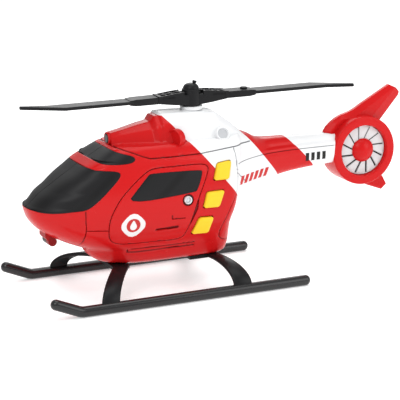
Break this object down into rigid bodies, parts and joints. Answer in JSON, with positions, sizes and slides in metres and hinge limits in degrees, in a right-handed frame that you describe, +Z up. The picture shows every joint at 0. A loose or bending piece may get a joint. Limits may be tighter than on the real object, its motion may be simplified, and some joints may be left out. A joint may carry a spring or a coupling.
{
  "type": "toy helicopter",
  "caption": "Toy rescue helicopter with a spinning main rotor, a shrouded tail fan, push buttons on one side and two landing skids.",
  "frame": {"origin": "on the floor, below the middle of the whole model's box", "axes": "+X to the nose, +Y to port, +Z up; the rotor mast stands on X = 0.02285 m"},
  "size_m": [0.3287, 0.1198, 0.1619],
  "materials": {
    "red_shell": "glossy moulded plastic, red, with white painted areas on the hull and boom",
    "white_shell": "glossy white moulded plastic",
    "dark_window": "very dark smoked plastic, polished",
    "black_gear": "black moulded plastic, satin",
    "yellow_button": "yellow moulded plastic, semi-gloss",
    "steel": "plated steel",
    "clear_lens": "clear to milky lens plastic",
    "board": "green lacquered circuit board"
  },
  "bodies": {
    "airframe": {"fuselage_left": "red_shell", "fuselage_right": "red_shell", "engine_cowling": "red_shell", "intake_left": "red_shell", "intake_right": "red_shell", "search_light_bracket": "red_shell", "battery_door": "red_shell", "tail_housing_left": "red_shell", "tail_housing_right": "red_shell", "mast_collar": "white_shell", "side_lamp_bezel": "white_shell", "windscreen_left": "dark_window", "windscreen_right": "dark_window", "roof_window_left": "dark_window", "roof_window_right": "dark_window", "door_window_left": "dark_window", "door_window_right": "dark_window", "beacon_lens": "dark_window", "skid_left": "black_gear", "skid_right": "black_gear", "front_arch": "black_gear", "rear_arch": "black_gear", "side_lamp_socket": "black_gear", "search_light": "black_gear", "battery_box": "black_gear", "speaker": "black_gear", "sound_chip": "black_gear", "switches": "black_gear", "fan_axle": "steel", "body_screws": "steel", "arch_screws": "steel", "battery_door_screw": "steel", "battery_contacts": "steel", "battery_cells": "steel", "side_lamp_lens": "clear_lens", "beacon_led": "clear_lens", "circuit_board": "board"},
    "rotor": {"rotor_hub": "black_gear", "rotor_blade_front": "black_gear", "rotor_blade_rear": "black_gear", "blade_pins": "black_gear", "hub_cap": "black_gear", "hub_knob": "black_gear", "rotor_mast": "steel", "mast_retainer": "steel"},
    "tail_fan": {"fan_wheel": "white_shell", "fan_cap": "red_shell"},
    "button_top": {"button_top": "yellow_button"},
    "button_middle": {"button_middle": "yellow_button"},
    "button_lower": {"button_lower": "yellow_button"}
  },
  "joints": [
    {"name": "rotor_spin", "type": "hinge", "parent": "airframe", "child": "rotor", "pos_m": [0.02285, 0, 0.1453], "axis": [0, 0, 1], "continuous": true},
    {"name": "tail_fan_spin", "type": "hinge", "parent": "airframe", "child": "tail_fan", "pos_m": [-0.12681, 0, 0.0918], "axis": [0, 1, 0], "continuous": true},
    {"name": "button_top_press", "type": "slide", "parent": "airframe", "child": "button_top", "axis": [0, -1, 0], "range_m": [0, 0.0015], "stiffness_N_per_m": 600, "springref_m": -0.001},
    {"name": "button_middle_press", "type": "slide", "parent": "airframe", "child": "button_middle", "axis": [0, -1, 0], "range_m": [0, 0.0015], "stiffness_N_per_m": 600, "springref_m": -0.001},
    {"name": "button_lower_press", "type": "slide", "parent": "airframe", "child": "button_lower", "axis": [0, -1, 0], "range_m": [0, 0.0015], "stiffness_N_per_m": 600, "springref_m": -0.001}
  ]
}
